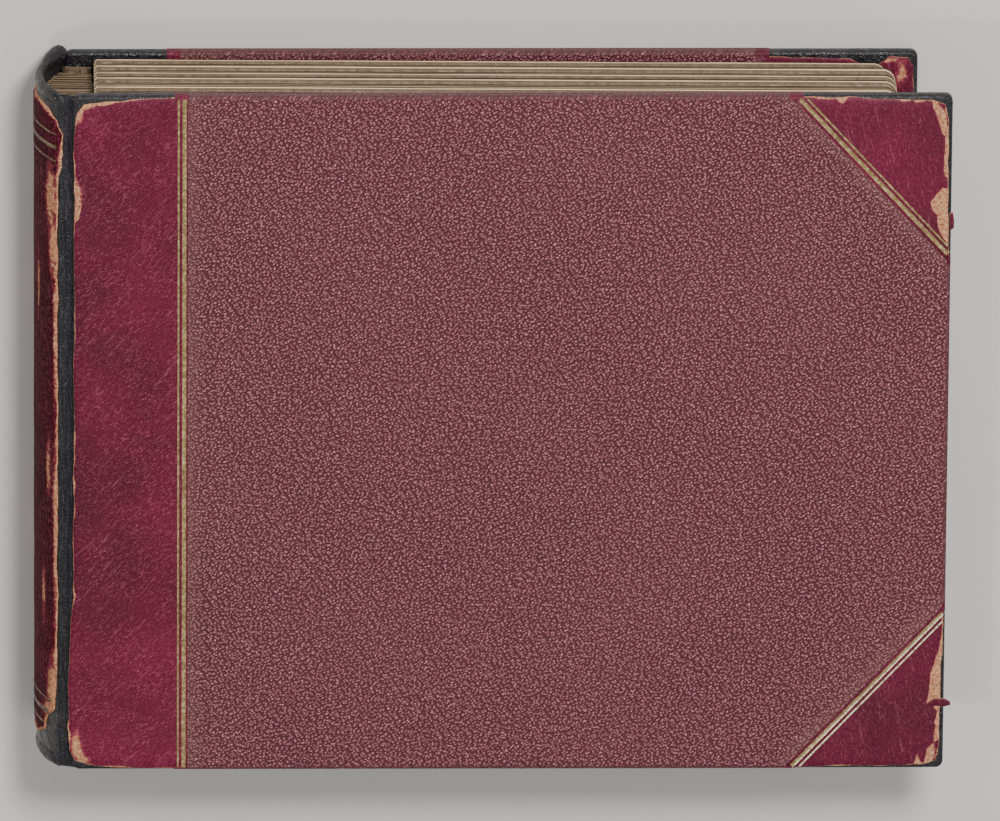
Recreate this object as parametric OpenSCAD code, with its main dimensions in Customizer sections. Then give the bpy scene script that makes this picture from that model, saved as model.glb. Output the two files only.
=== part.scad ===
// Half-leather oblong album for mounted papers, rebacked: the old red leather is laid over new black leather.
// It lies on its back cover. X runs from the spine to the fore-edge, Y from tail to head, Z up.
// The spine block turns on the back cover, the front cover turns on the spine block,
// and each leaf turns on the spine block at its own linen hinge.

/* [Whole album] */
// Width from the crown of the spine to the front fore-edge
total_w = 260; // [252:1:266]
// Height of the covers from tail to head
cover_h = 205; // [160:1:240]
// Thickness of the closed album
total_t = 41; // [41:0.5:44]

/* [Covers] */
// Width of the front board
front_board_w = 248.5; // [246:0.5:249]
// Width of the back board
back_board_w = 242; // [240:0.5:244.5]
// How far the back board stops short of the front fore-edge
back_inset = 8.5; // [6:0.5:9]
// Thickness of the paper board core
board_t = 3; // [2.5:0.1:3]
// Depth of the covering at the board edges
edge_t = 1; // [0.8:0.1:1.4]
// Width of the turn-ins on the inner face
turn_w = 15; // [8:1:25]
// Margin of bare turn-in around the pastedown
paste_margin = 9.5; // [3:0.5:12]

/* [Leather] */
// Width of the leather strip beside the spine
strip_w = 32.4; // [20:0.1:45]
// Leg of a leather corner along the head or tail
corner_leg_x = 47; // [30:1:60]
// Leg of a leather corner along the fore-edge
corner_leg_y = 52; // [30:1:60]

/* [Gilt lines] */
// Width of the thick fillet
thick_line = 1.3; // [0.8:0.1:2]
// Width of the thin fillet
thin_line = 0.6; // [0.3:0.1:0.9]
// Leather left between the thick fillet and the cloth
line_margin = 0.4; // [0.4:0.1:2]
// Gap between the thick and the thin fillet
line_gap = 0.7; // [0.4:0.1:2]
// Distance of the first spine band from the head
band_start = 12; // [8:1:20]
// Spacing of the three spine bands
band_step = 4; // [3:0.5:6]

/* [Spine] */
// How far the rounded spine stands out behind its shoulders
spine_bulge = 6.5; // [6:0.5:7]
// Radius of the leather roll over the cord at head and tail
cap_r = 1.6; // [1.4:0.1:1.6]
// Radius of the cord in the caps
cord_r = 0.8; // [0.5:0.1:1]
// Number of sewing tapes
tape_count = 4; // [3:1:5]
// Width of a sewing tape
tape_w = 12; // [8:1:16]

/* [Leaves] */
// Thickness of a card leaf
leaf_t = 1.5; // [1:0.1:1.6]
// Distance between neighbouring leaves
leaf_pitch = 2.5; // [2.4:0.1:2.5]
// How far the covers stand out beyond the leaves at head and tail
square_h = 2.5; // [2:0.5:5]
// Width of the guard block, from the spine's shoulders to the line where the leaves turn
guard_w = 10.5; // [8:0.5:14]
// How far the guards stop short of the leaves at head and tail
guard_inset = 3; // [2.5:0.5:6]
// How far the leaves stop short of the front fore-edge
leaf_inset = 15; // [10:1:20]
// Corner radius of a leaf at the fore-edge
leaf_corner_r = 4; // [1:0.5:8]
// Thickness of the flyleaf paper
fly_t = 0.4; // [0.2:0.1:0.4]

/* [Hidden] */
$fn = 96;

// Layers of a cover, from its outer face inwards
gilt_z = 0.02;
leather_z = 0.1;
cloth_t = 0.5;
face_t = 0.9;
core_z = face_t + board_t;
underlay_turn_t = 0.25;
turn_t = 0.5;
paste_t = 0.2;
turn_z = core_z + turn_t;
cover_t = turn_z + paste_t;

// Places along X
fore_x = total_w / 2;
crown_x = -total_w / 2;
shoulder_x = crown_x + spine_bulge;
front_x0 = fore_x - front_board_w;
back_x0 = fore_x - back_inset - back_board_w;

// Rounded spine: an arc about an axis along Y, through both shoulders
shoulder_z = 1.5;
half_chord = total_t / 2 - shoulder_z;
spine_r = (half_chord * half_chord + spine_bulge * spine_bulge) / (2 * spine_bulge);
arc_x = crown_x + spine_r;
mid_z = total_t / 2;

// Layers of the spine, as depths below its outermost surface
band_t = 0.1;
red_t = 0.8;
black_t = 0.8;
liner_t = 0.6;
mull_t = 0.4;
tape_t = 0.4;
red_d = band_t;
black_d = red_d + red_t;
liner_d = black_d + black_t;
mull_d = liner_d + liner_t;
tape_d = mull_d + mull_t;
guard_d = tape_d + tape_t;
cap_gap = 0.1;
red_half_h = cover_h / 2 - 2 * cap_r - cap_gap;
inner_half_h = cover_h / 2 - 2 * cap_r - 2 * cap_gap;

// Leaves and their hinges
leaf_count = 12;
pivot_x = shoulder_x + guard_w;
hinge_gap = 0.3;
hinge_t = 0.3;
leaf_x0 = pivot_x + 0.8;
leaf_x1 = fore_x - leaf_inset;
bevel_w = 3.5;
bevel_t = 0.6;
tongue = 6;
leaf_half_h = cover_h / 2 - square_h;
fly_x0 = shoulder_x + 5.2;
fly_x1 = leaf_x1 - 3.5;
fly_half_h = cover_h / 2 - paste_margin;
fly_gap = 0.3;
guard_t = leaf_pitch - 0.2;
guard_x1 = pivot_x - 0.6;
guard_half_h = leaf_half_h - guard_inset;
guard_clear = 1;
joint_t = 0.8;
over = 1;

// Height of the middle of leaf n, where leaf 1 lies under the front cover
function leaf_z(n) = mid_z + leaf_pitch * ((leaf_count + 1) / 2 - n);

// Box between two corners
module block(low, high) {
    translate(low) cube(high - low);
}

// Flat outline, given as X and Z, drawn out along Y
module along_y(y0, y1) {
    translate([0, y1, 0]) rotate([90, 0, 0]) linear_extrude(y1 - y0) children();
}

// A cover is drawn with its spine edge at X = 0 and its outer face at Z = 0, then put in its place
module at_back() {
    translate([back_x0, 0, 0]) children();
}

module at_front() {
    translate([front_x0, 0, total_t]) mirror([0, 0, 1]) children();
}

// Triangle at the head fore-edge corner, with both legs shortened together
module corner_outline(w, shorter = 0) {
    legs = [corner_leg_x - shorter, corner_leg_y - shorter * corner_leg_y / corner_leg_x];
    polygon([[w - legs[0], cover_h / 2], [w, cover_h / 2], [w, cover_h / 2 - legs[1]]]);
}

module corner_prism(w, z0, z1, shorter = 0) {
    translate([0, 0, z0]) linear_extrude(z1 - z0) corner_outline(w, shorter);
}

module at_both_corners() {
    children();
    mirror([0, 1, 0]) children();
}

// Everything inside the covering at the head, tail and fore-edge
module inner_slab(w, z0, z1) {
    block([0, edge_t - cover_h / 2, z0], [w - edge_t, cover_h / 2 - edge_t, z1]);
}

// Board edges, without the spine edge
module edge_band(w, z0, z1) {
    difference() {
        block([0, -cover_h / 2, z0], [w, cover_h / 2, z1]);
        block([-over, edge_t - cover_h / 2, z0 - over], [w - edge_t, cover_h / 2 - edge_t, z1 + over]);
    }
}

// Strip of turn-in inside the edges
module turn_in(w, z0, z1) {
    difference() {
        inner_slab(w, z0, z1);
        block([-over, turn_w - cover_h / 2, z0 - over], [w - turn_w, cover_h / 2 - turn_w, z1 + over]);
    }
}

module strip_zone() {
    block([-over, -cover_h, -over], [strip_w, cover_h, cover_t + over]);
}

module cover_board(w) {
    inner_slab(w, face_t, core_z);
}

module cover_cloth(w) {
    difference() {
        union() {
            inner_slab(w, 0, cloth_t);
            edge_band(w, 0, turn_z);
            turn_in(w, core_z, turn_z);
        }
        strip_zone();
        at_both_corners() corner_prism(w, -over, cover_t + over);
    }
}

// Paper that fills the space beside the leather, outside and inside the board
module cover_infill(w) {
    difference() {
        inner_slab(w, cloth_t, face_t);
        strip_zone();
        at_both_corners() corner_prism(w, cloth_t - over, face_t + over);
    }
    block([0, turn_w - cover_h / 2, core_z], [w - turn_w, cover_h / 2 - turn_w, turn_z]);
}

module strip_underlay(w) {
    intersection() {
        union() {
            inner_slab(w, cloth_t, face_t);
            edge_band(w, leather_z, turn_z);
            turn_in(w, core_z, core_z + underlay_turn_t);
        }
        strip_zone();
    }
}

module strip_leather(w) {
    intersection() {
        union() {
            inner_slab(w, leather_z, cloth_t);
            turn_in(w, core_z + underlay_turn_t, turn_z);
        }
        strip_zone();
    }
}

module corner_underlays(w) {
    at_both_corners() intersection() {
        union() {
            inner_slab(w, cloth_t, face_t);
            edge_band(w, leather_z, turn_z);
            turn_in(w, core_z, core_z + underlay_turn_t);
        }
        corner_prism(w, 0, cover_t);
    }
}

module corner_leather(w) {
    intersection() {
        union() {
            inner_slab(w, leather_z, cloth_t);
            turn_in(w, core_z + underlay_turn_t, turn_z);
        }
        corner_prism(w, 0, cover_t);
    }
}

module cover_pastedown(w) {
    half_h = cover_h / 2 - paste_margin;
    block([0, -half_h, turn_z], [w - paste_margin, half_h, cover_t]);
}

// Thick fillet beside the cloth and thin fillet inside it
module strip_gilt() {
    half_h = cover_h / 2 - edge_t;
    thick_x = strip_w - line_margin - thick_line;
    thin_x = thick_x - line_gap - thin_line;
    block([thick_x, -half_h, gilt_z], [thick_x + thick_line, half_h, leather_z]);
    block([thin_x, -half_h, gilt_z], [thin_x + thin_line, half_h, leather_z]);
}

module corner_line(w, start, width) {
    slant = norm([corner_leg_x, corner_leg_y]) / corner_leg_y;
    difference() {
        corner_prism(w, gilt_z, leather_z, start * slant);
        corner_prism(w, gilt_z - over, leather_z + over, (start + width) * slant);
    }
}

module corner_gilt(w) {
    corner_margin = 2 * line_margin;
    at_both_corners() intersection() {
        union() {
            corner_line(w, corner_margin, thick_line);
            corner_line(w, corner_margin + thick_line + line_gap, thin_line);
        }
        inner_slab(w, 0, cover_t);
    }
}

// Shell of the rounded spine between two depths below its surface
module spine_shell(d0, d1, half_h) {
    intersection() {
        difference() {
            along_y(-half_h, half_h) translate([arc_x, mid_z]) circle(spine_r - d0);
            along_y(-half_h - over, half_h + over) translate([arc_x, mid_z]) circle(spine_r - d1);
        }
        block([crown_x - over, -cover_h, 0], [shoulder_x, cover_h, total_t]);
    }
}

// Round roll that follows the spine at head and tail
module cap_rolls(r) {
    intersection() {
        for (side = [-1, 1])
            translate([arc_x, side * (cover_h / 2 - cap_r), mid_z])
                rotate([90, 0, 0])
                    rotate_extrude() translate([spine_r - liner_d, 0]) circle(r);
        block([crown_x - over, -cover_h, 0], [shoulder_x, cover_h, total_t]);
    }
}

module spine_leather() {
    color("#7a2440") spine_shell(red_d, black_d, red_half_h);
}

module spine_underlay() {
    color("#1d1f20") difference() {
        union() {
            spine_shell(black_d, liner_d, cover_h / 2 - cap_r);
            cap_rolls(cap_r);
        }
        cap_rolls(cord_r);
    }
}

module cap_cords() {
    color("#c9b58f") cap_rolls(cord_r);
}

module spine_liner() {
    color("#a98f6a") spine_shell(liner_d, mull_d, inner_half_h);
}

module mull() {
    color("#d8cfb8") spine_shell(mull_d, tape_d, inner_half_h);
}

module sewing_tapes() {
    pitch = cover_h / (tape_count + 0.66);
    color("#cbb994") for (i = [0 : tape_count - 1])
        translate([0, (i - (tape_count - 1) / 2) * pitch, 0]) spine_shell(tape_d, guard_d, tape_w / 2);
}

// Folded card guards, one for each leaf. The outermost two are bent out into the shoulders.
module guards() {
    top_z = total_t - cover_t - guard_clear;
    low_z = cover_t + guard_clear;
    swell = 2;
    color("#9c7a55") intersection() {
        along_y(-guard_half_h, guard_half_h) translate([arc_x, mid_z]) circle(spine_r - guard_d);
        difference() {
            for (n = [1 : leaf_count]) {
                up = n == 1 ? top_z + swell + guard_clear : leaf_z(n) + guard_t / 2;
                down = n == leaf_count ? low_z - swell - guard_clear : leaf_z(n) - guard_t / 2;
                block([crown_x, -cover_h, down], [guard_x1, cover_h, up]);
            }
            block([front_x0 - guard_clear, -cover_h, top_z], [0, cover_h, total_t]);
            block([back_x0 - guard_clear, -cover_h, 0], [0, cover_h, low_z]);
        }
    }
}

module spine_gilt() {
    widths = [thin_line, thick_line, thin_line];
    color("#a8935a") for (side = [-1, 1], i = [0 : 2])
        translate([0, side * (cover_h / 2 - band_start - i * band_step), 0])
            spine_shell(0, red_d, widths[i] / 2);
}

// New leather that flexes between the shoulders and the boards
module front_joint_leather() {
    top = total_t - shoulder_z + joint_t / 4;
    color("#232526") block([shoulder_x, -cover_h / 2, top - joint_t], [front_x0, cover_h / 2, top]);
}

module back_joint_leather() {
    low = shoulder_z - joint_t / 4;
    color("#232526") block([shoulder_x, -cover_h / 2, low], [back_x0, cover_h / 2, low + joint_t]);
}

module leaf_outline() {
    translate([leaf_x0, -leaf_half_h]) square([leaf_x1 - leaf_corner_r - leaf_x0, 2 * leaf_half_h]);
    translate([leaf_x0, leaf_corner_r - leaf_half_h])
        square([leaf_x1 - leaf_x0, 2 * (leaf_half_h - leaf_corner_r)]);
    for (side = [-1, 1])
        translate([leaf_x1 - leaf_corner_r, side * (leaf_half_h - leaf_corner_r)]) circle(leaf_corner_r);
}

// Card leaf with rounded fore-edge corners. Its inner margin is pared thin, so that it clears the next leaf
// as they turn, and it is split there to take the linen hinge.
module leaf(n) {
    color("#b99f78") translate([0, 0, leaf_z(n)]) difference() {
        intersection() {
            translate([0, 0, -leaf_t / 2]) linear_extrude(leaf_t) leaf_outline();
            along_y(-cover_h / 2, cover_h / 2) polygon([
                [leaf_x0, -bevel_t / 2],
                [leaf_x0 + bevel_w, -leaf_t / 2],
                [leaf_x1, -leaf_t / 2],
                [leaf_x1, leaf_t / 2],
                [leaf_x0 + bevel_w, leaf_t / 2],
                [leaf_x0, bevel_t / 2]
            ]);
        }
        block([leaf_x0 - over, -cover_h, -hinge_t / 2], [leaf_x0 + tongue, cover_h, hinge_t / 2]);
    }
}

module leaf_hinge(n) {
    color("#d9ccb0") block([pivot_x + hinge_gap, -leaf_half_h, leaf_z(n) - hinge_t / 2],
                           [leaf_x0 + tongue, leaf_half_h, leaf_z(n) + hinge_t / 2]);
}

module flyleaf(z0) {
    color("#cdbf9f") block([fly_x0, -fly_half_h, z0], [fly_x1, fly_half_h, z0 + fly_t]);
}

module back_board() { color("#8b7a5e") at_back() cover_board(back_board_w); }
module back_infill() { color("#b8ad94") at_back() cover_infill(back_board_w); }
module back_cloth() { color("#703741") at_back() cover_cloth(back_board_w); }
module back_strip_underlay() { color("#1d1f20") at_back() strip_underlay(back_board_w); }
module back_strip_leather() { color("#7a2440") at_back() strip_leather(back_board_w); }
module back_corner_underlays() { color("#1d1f20") at_back() corner_underlays(back_board_w); }
module back_head_corner() { color("#7a2440") at_back() corner_leather(back_board_w); }
module back_tail_corner() { color("#7a2440") at_back() mirror([0, 1, 0]) corner_leather(back_board_w); }
module back_pastedown() { color("#cdbf9f") at_back() cover_pastedown(back_board_w); }
module back_strip_gilt() { color("#a8935a") at_back() strip_gilt(); }
module back_corner_gilt() { color("#a8935a") at_back() corner_gilt(back_board_w); }

module front_board() { color("#8b7a5e") at_front() cover_board(front_board_w); }
module front_infill() { color("#b8ad94") at_front() cover_infill(front_board_w); }
module front_cloth() { color("#703741") at_front() cover_cloth(front_board_w); }
module front_strip_underlay() { color("#1d1f20") at_front() strip_underlay(front_board_w); }
module front_strip_leather() { color("#7a2440") at_front() strip_leather(front_board_w); }
module front_corner_underlays() { color("#1d1f20") at_front() corner_underlays(front_board_w); }
module front_head_corner() { color("#7a2440") at_front() corner_leather(front_board_w); }
module front_tail_corner() { color("#7a2440") at_front() mirror([0, 1, 0]) corner_leather(front_board_w); }
module front_pastedown() { color("#cdbf9f") at_front() cover_pastedown(front_board_w); }
module front_strip_gilt() { color("#a8935a") at_front() strip_gilt(); }
module front_corner_gilt() { color("#a8935a") at_front() corner_gilt(front_board_w); }

module front_flyleaf() { flyleaf(total_t - cover_t - fly_gap - fly_t); }
module back_flyleaf() { flyleaf(cover_t + fly_gap); }

back_board();
back_infill();
back_cloth();
back_strip_underlay();
back_strip_leather();
back_corner_underlays();
back_head_corner();
back_tail_corner();
back_pastedown();
back_strip_gilt();
back_corner_gilt();
front_board();
front_infill();
front_cloth();
front_strip_underlay();
front_strip_leather();
front_corner_underlays();
front_head_corner();
front_tail_corner();
front_pastedown();
front_strip_gilt();
front_corner_gilt();
spine_leather();
spine_underlay();
cap_cords();
spine_liner();
mull();
sewing_tapes();
guards();
spine_gilt();
front_joint_leather();
back_joint_leather();
front_flyleaf();
back_flyleaf();
leaf(1);  // leaf_01
leaf(2);  // leaf_02
leaf(3);  // leaf_03
leaf(4);  // leaf_04
leaf(5);  // leaf_05
leaf(6);  // leaf_06
leaf(7);  // leaf_07
leaf(8);  // leaf_08
leaf(9);  // leaf_09
leaf(10);  // leaf_10
leaf(11);  // leaf_11
leaf(12);  // leaf_12
leaf_hinge(1);  // leaf_hinge_01
leaf_hinge(2);  // leaf_hinge_02
leaf_hinge(3);  // leaf_hinge_03
leaf_hinge(4);  // leaf_hinge_04
leaf_hinge(5);  // leaf_hinge_05
leaf_hinge(6);  // leaf_hinge_06
leaf_hinge(7);  // leaf_hinge_07
leaf_hinge(8);  // leaf_hinge_08
leaf_hinge(9);  // leaf_hinge_09
leaf_hinge(10);  // leaf_hinge_10
leaf_hinge(11);  // leaf_hinge_11
leaf_hinge(12);  // leaf_hinge_12
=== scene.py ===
"""Scrapbook album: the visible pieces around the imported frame. Lengths are in millimetres, or in metres where
a name ends in _M."""
import math

import bmesh
import bpy
import numpy as np
from mathutils import Matrix, Vector, noise
from mathutils.geometry import delaunay_2d_cdt


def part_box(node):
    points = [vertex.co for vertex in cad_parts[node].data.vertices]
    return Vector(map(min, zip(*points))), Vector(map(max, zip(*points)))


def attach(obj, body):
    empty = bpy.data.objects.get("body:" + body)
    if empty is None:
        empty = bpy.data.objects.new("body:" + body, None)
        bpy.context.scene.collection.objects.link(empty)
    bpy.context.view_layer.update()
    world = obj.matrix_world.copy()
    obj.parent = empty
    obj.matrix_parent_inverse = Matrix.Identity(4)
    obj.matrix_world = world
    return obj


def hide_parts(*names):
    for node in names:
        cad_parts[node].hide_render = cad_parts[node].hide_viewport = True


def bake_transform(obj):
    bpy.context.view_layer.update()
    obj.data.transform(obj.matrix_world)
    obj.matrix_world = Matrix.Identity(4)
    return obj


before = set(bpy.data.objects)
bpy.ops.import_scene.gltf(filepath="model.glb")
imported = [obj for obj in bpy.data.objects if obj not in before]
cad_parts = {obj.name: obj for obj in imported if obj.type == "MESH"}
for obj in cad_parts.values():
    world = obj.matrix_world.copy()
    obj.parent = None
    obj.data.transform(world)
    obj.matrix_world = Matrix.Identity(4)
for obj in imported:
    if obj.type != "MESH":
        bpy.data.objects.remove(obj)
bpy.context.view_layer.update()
MM = 0.001


def box_mm(node):
    """Lowest and highest corners of a CAD node, in millimetres."""
    low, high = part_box(node)
    return low / MM, high / MM


# ---------------------------------------------------------------- measures, from the frame and given
BACK_LOW, BACK_HIGH = box_mm("back_cloth")
FRONT_LOW, FRONT_HIGH = box_mm("front_cloth")
SPINE_LOW, SPINE_HIGH = box_mm("spine_leather")
JOINT_HIGH = box_mm("front_joint_leather")[1]
BACK_JOINT_HIGH = box_mm("back_joint_leather")[1]
HALF_H = FRONT_HIGH.y
TOTAL_T = FRONT_HIGH.z
MID_Z = TOTAL_T / 2
CROWN_X = SPINE_LOW.x
SHOULDER_X = SPINE_HIGH.x
SHOULDER_RISE = SPINE_HIGH.z - MID_Z
BULGE = SHOULDER_X - CROWN_X
SPINE_R = (BULGE ** 2 + SHOULDER_RISE ** 2) / (2 * BULGE)
ARC_X = CROWN_X + SPINE_R
SHOULDER_A = math.asin(SHOULDER_RISE / SPINE_R)

COVERS = {
    "front": {"x0": JOINT_HIGH.x, "x1": FRONT_HIGH.x, "line": FRONT_LOW.x, "z": TOTAL_T, "into": -1,
              "body": "front_cover"},
    "back": {"x0": BACK_JOINT_HIGH.x, "x1": BACK_HIGH.x, "line": BACK_LOW.x, "z": 0.0, "into": 1,
             "body": "back_cover"},
}
CORNER_LEG_X = FRONT_HIGH.x - box_mm("front_head_corner")[0].x
CORNER_LEG_Y = HALF_H - box_mm("front_head_corner")[0].y
COVER_T = 4.4          # covering to covering, without the pastedown
EDGE_R = 1.1           # rounding of the board edges
PLAN_R = 2.2           # rounding of the board corners in plan
TURN_IN = 15.0
TAB = 3.8              # old leather that still wraps the edge beside each fillet
FAR = 99.0             # stands for the distance to an edge that isn't there
PLAIN_STEP = 6.0       # between points on an outline's straight sides
EASE = 2.5             # length over which a torn side leaves its corners
LONGEST_STEP = 6.5     # between two samples of one board edge


# ---------------------------------------------------------------- mesh helpers
def wobble(x, y, seed, size):
    """Smooth noise from -1 to 1 with features of about that size."""
    return noise.noise(Vector((x / size + seed * 7.31, y / size - seed * 3.17, seed * 1.93)))


def smooth(t):
    t = min(1.0, max(0.0, t))
    return t * t * (3 - 2 * t)


class Build:
    """Collects the points, in millimetres, the faces and the attributes of one piece."""

    def __init__(self):
        self.points, self.faces, self.values = [], [], {}

    def add(self, points, faces, **values):
        start = len(self.points)
        for key in set(self.values) | set(values):
            held = self.values.setdefault(key, [0.0] * start)
            held.extend(values.get(key, [0.0] * len(points)))
        self.points.extend(points)
        self.faces.extend([tuple(start + i for i in f) for f in faces])

    def finish(self, name, body, slot, material, node, crease=40, gap=0):
        """Makes the piece. Its shading breaks at creases sharper than that angle, and points that meet within
        the gap are joined."""
        mesh = bpy.data.meshes.new(name)
        mesh.from_pydata([tuple(Vector(p) * MM) for p in self.points], [], self.faces)
        for key, values in self.values.items():
            layer = mesh.attributes.new(key, "FLOAT", "POINT")
            layer.data.foreach_set("value", np.array(values, dtype=np.float32))
        mesh.validate()
        if gap:
            b = bmesh.new()
            b.from_mesh(mesh)
            bmesh.ops.remove_doubles(b, verts=b.verts, dist=gap * MM)
            bmesh.ops.dissolve_degenerate(b, edges=b.edges, dist=gap * MM)
            bmesh.ops.recalc_face_normals(b, faces=b.faces)
            b.to_mesh(mesh)
            b.free()
        mesh.polygons.foreach_set("use_smooth", [True] * len(mesh.polygons))
        mesh.update()
        piece = bpy.data.objects.new(name, mesh)
        bpy.context.scene.collection.objects.link(piece)
        mesh.materials.append(material)
        if crease:
            piece.modifiers.new("creases", "EDGE_SPLIT").split_angle = math.radians(crease)
        if body:
            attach(piece, body)
        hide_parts(node)
        return piece


def lattice(rows, columns, start=0, sides=(0, 1)):
    """Faces of a sheet with two layers of points, each of so many rows and columns. Sides says which of its
    two long sides are closed."""
    def at(layer, i, k):
        return start + (layer * rows + i) * columns + k

    faces = []
    for i in range(rows - 1):
        for k in range(columns - 1):
            faces += [(at(0, i, k), at(0, i, k + 1), at(0, i + 1, k + 1), at(0, i + 1, k)),
                      (at(1, i, k), at(1, i + 1, k), at(1, i + 1, k + 1), at(1, i, k + 1))]
        for side in sides:
            k = side * (columns - 1)
            faces.append((at(side, i, k), at(side, i + 1, k), at(1 - side, i + 1, k), at(1 - side, i, k)))
    for side in (0, 1):
        i = side * (rows - 1)
        faces += [(at(side, i, k), at(1 - side, i, k), at(1 - side, i, k + 1), at(side, i, k + 1))
                  for k in range(columns - 1)]
    return faces


def bar(rows):
    """Points and faces of a bar with those closed cross-sections."""
    m, last = len(rows[0]), len(rows) - 1
    faces = [(k * m + j, k * m + (j + 1) % m, (k + 1) * m + (j + 1) % m, (k + 1) * m + j)
             for k in range(last) for j in range(m)]
    ends = [tuple(range(m))[::-1], tuple(range(last * m, last * m + m))]
    return [q for row in rows for q in row], faces + ends


def reverse(faces):
    return [tuple(reversed(f)) for f in faces]


def ragged(corners, seed, step=1.2, back=False):
    """Closed outline from (u, v, roughness) corners: the side that starts at a corner wanders by its
    roughness. Gives the points and, for each, whether it lies on a torn side. With back, the order is turned
    back to front."""
    if back:
        corners = [(u, v, corners[(-i - 2) % len(corners)][2]) for i, (u, v, _) in enumerate(corners[::-1])]
    points, torn = [], []
    for i, (u0, v0, rough) in enumerate(corners):
        u1, v1, _ = corners[(i + 1) % len(corners)]
        length = math.hypot(u1 - u0, v1 - v0)
        count = max(1, int(length / (step if rough else PLAIN_STEP)))
        nu, nv = (v1 - v0) / max(length, 1e-6), -(u1 - u0) / max(length, 1e-6)
        for k in range(count):
            t = k / count
            u, v = u0 + (u1 - u0) * t, v0 + (v1 - v0) * t
            ease = min(1.0, t * length / EASE, (1 - t) * length / EASE)
            away = rough * ease * (wobble(u, v, seed, 9) * 1.3 + wobble(u, v, seed + 5, 3) * 0.7
                                   + wobble(u, v, seed + 9, 1.1) * 0.35)
            points.append((u + nu * away, v + nv * away))
            torn.append(rough > 0)
    return points, torn


def distance_to(path, points, only=None):
    """Distance from each point to the closed path, or to those of its sides that are marked."""
    a = np.array(path)
    b = np.roll(a, -1, axis=0)
    if only is not None:
        keep = np.array(only)
        a, b = a[keep], b[keep]
    p = np.array(points)
    best = np.full(len(p), 1e3)
    for s, e in zip(a, b):
        d = e - s
        t = np.clip(((p - s) @ d) / max(d @ d, 1e-12), 0, 1)
        best = np.minimum(best, np.hypot(*(p - s - t[:, None] * d).T))
    return best


def inside(path, points):
    """Whether each point lies inside the closed path."""
    a = np.array(path)
    b = np.roll(a, -1, axis=0)
    p = np.array(points)
    odd = np.zeros(len(p), bool)
    for s, e in zip(a, b):
        if s[1] == e[1]:
            continue
        crosses = (s[1] > p[:, 1]) != (e[1] > p[:, 1])
        odd ^= crosses & (p[:, 0] < s[0] + (p[:, 1] - s[1]) * (e[0] - s[0]) / (e[1] - s[1]))
    return odd


def ring(path, amount):
    """The closed path moved inwards by that amount, point by point."""
    a = np.array(path)
    ahead, behind = np.roll(a, -1, axis=0), np.roll(a, 1, axis=0)
    along = ahead - behind
    along /= np.maximum(np.hypot(*along.T), 1e-9)[:, None]
    turn = np.sum(a[:, 0] * ahead[:, 1] - ahead[:, 0] * a[:, 1])
    return a + np.stack([-along[:, 1], along[:, 0]], 1) * (amount if turn > 0 else -amount)


def fill(outline, spacing, seed, rims=(), patches=()):
    """Triangles that fill a closed outline, with jittered points inside and rows of points along the rim and
    on both sides of each patch's edge."""
    noise.seed_set(seed)
    a = np.array(outline)
    low, high = a.min(0), a.max(0)
    cells = [(u, v) for u in np.arange(low[0], high[0] + spacing, spacing)
             for v in np.arange(low[1], high[1] + spacing, spacing)]
    grid = [(u + 0.32 * spacing * noise.random_vector().x, v + 0.32 * spacing * noise.random_vector().y)
            for u, v in cells]
    grid = np.array(grid)
    deep = max(rims) if rims else 0.0
    keep = inside(outline, grid) & (distance_to(outline, grid) > max(deep + 0.3, 0.35 * spacing))
    more = [tuple(p) for p in grid[keep]]
    rows = [(ring(outline, rim), 0.8 * rim) for rim in rims]
    rows += [(ring(patch, amount), 0.2) for patch in patches for amount in (-0.25, 0.25)]
    for row, least in rows:
        good = inside(outline, row) & (distance_to(outline, row) > least)
        more += [tuple(p) for p in row[good]]
    n = len(outline)
    result = delaunay_2d_cdt([Vector(p) for p in outline] + [Vector(p) for p in more],
                             [(i, (i + 1) % n) for i in range(n)], [], 1, 1e-5)
    flat = [(p.x, p.y) for p in result[0]]
    faces = []
    for f in result[2]:
        (x0, y0), (x1, y1), (x2, y2) = (flat[i] for i in f)
        area = (x1 - x0) * (y2 - y0) - (x2 - x0) * (y1 - y0)
        faces.append(tuple(f) if area > 0 else tuple(reversed(f)))
    return flat, faces


def border(faces):
    """Directed edges that belong to one triangle only."""
    single = {}
    for f in faces:
        for i in range(3):
            e = (f[i], f[(i + 1) % 3])
            single[frozenset(e)] = None if frozenset(e) in single else e
    return [e for e in single.values() if e]


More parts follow.
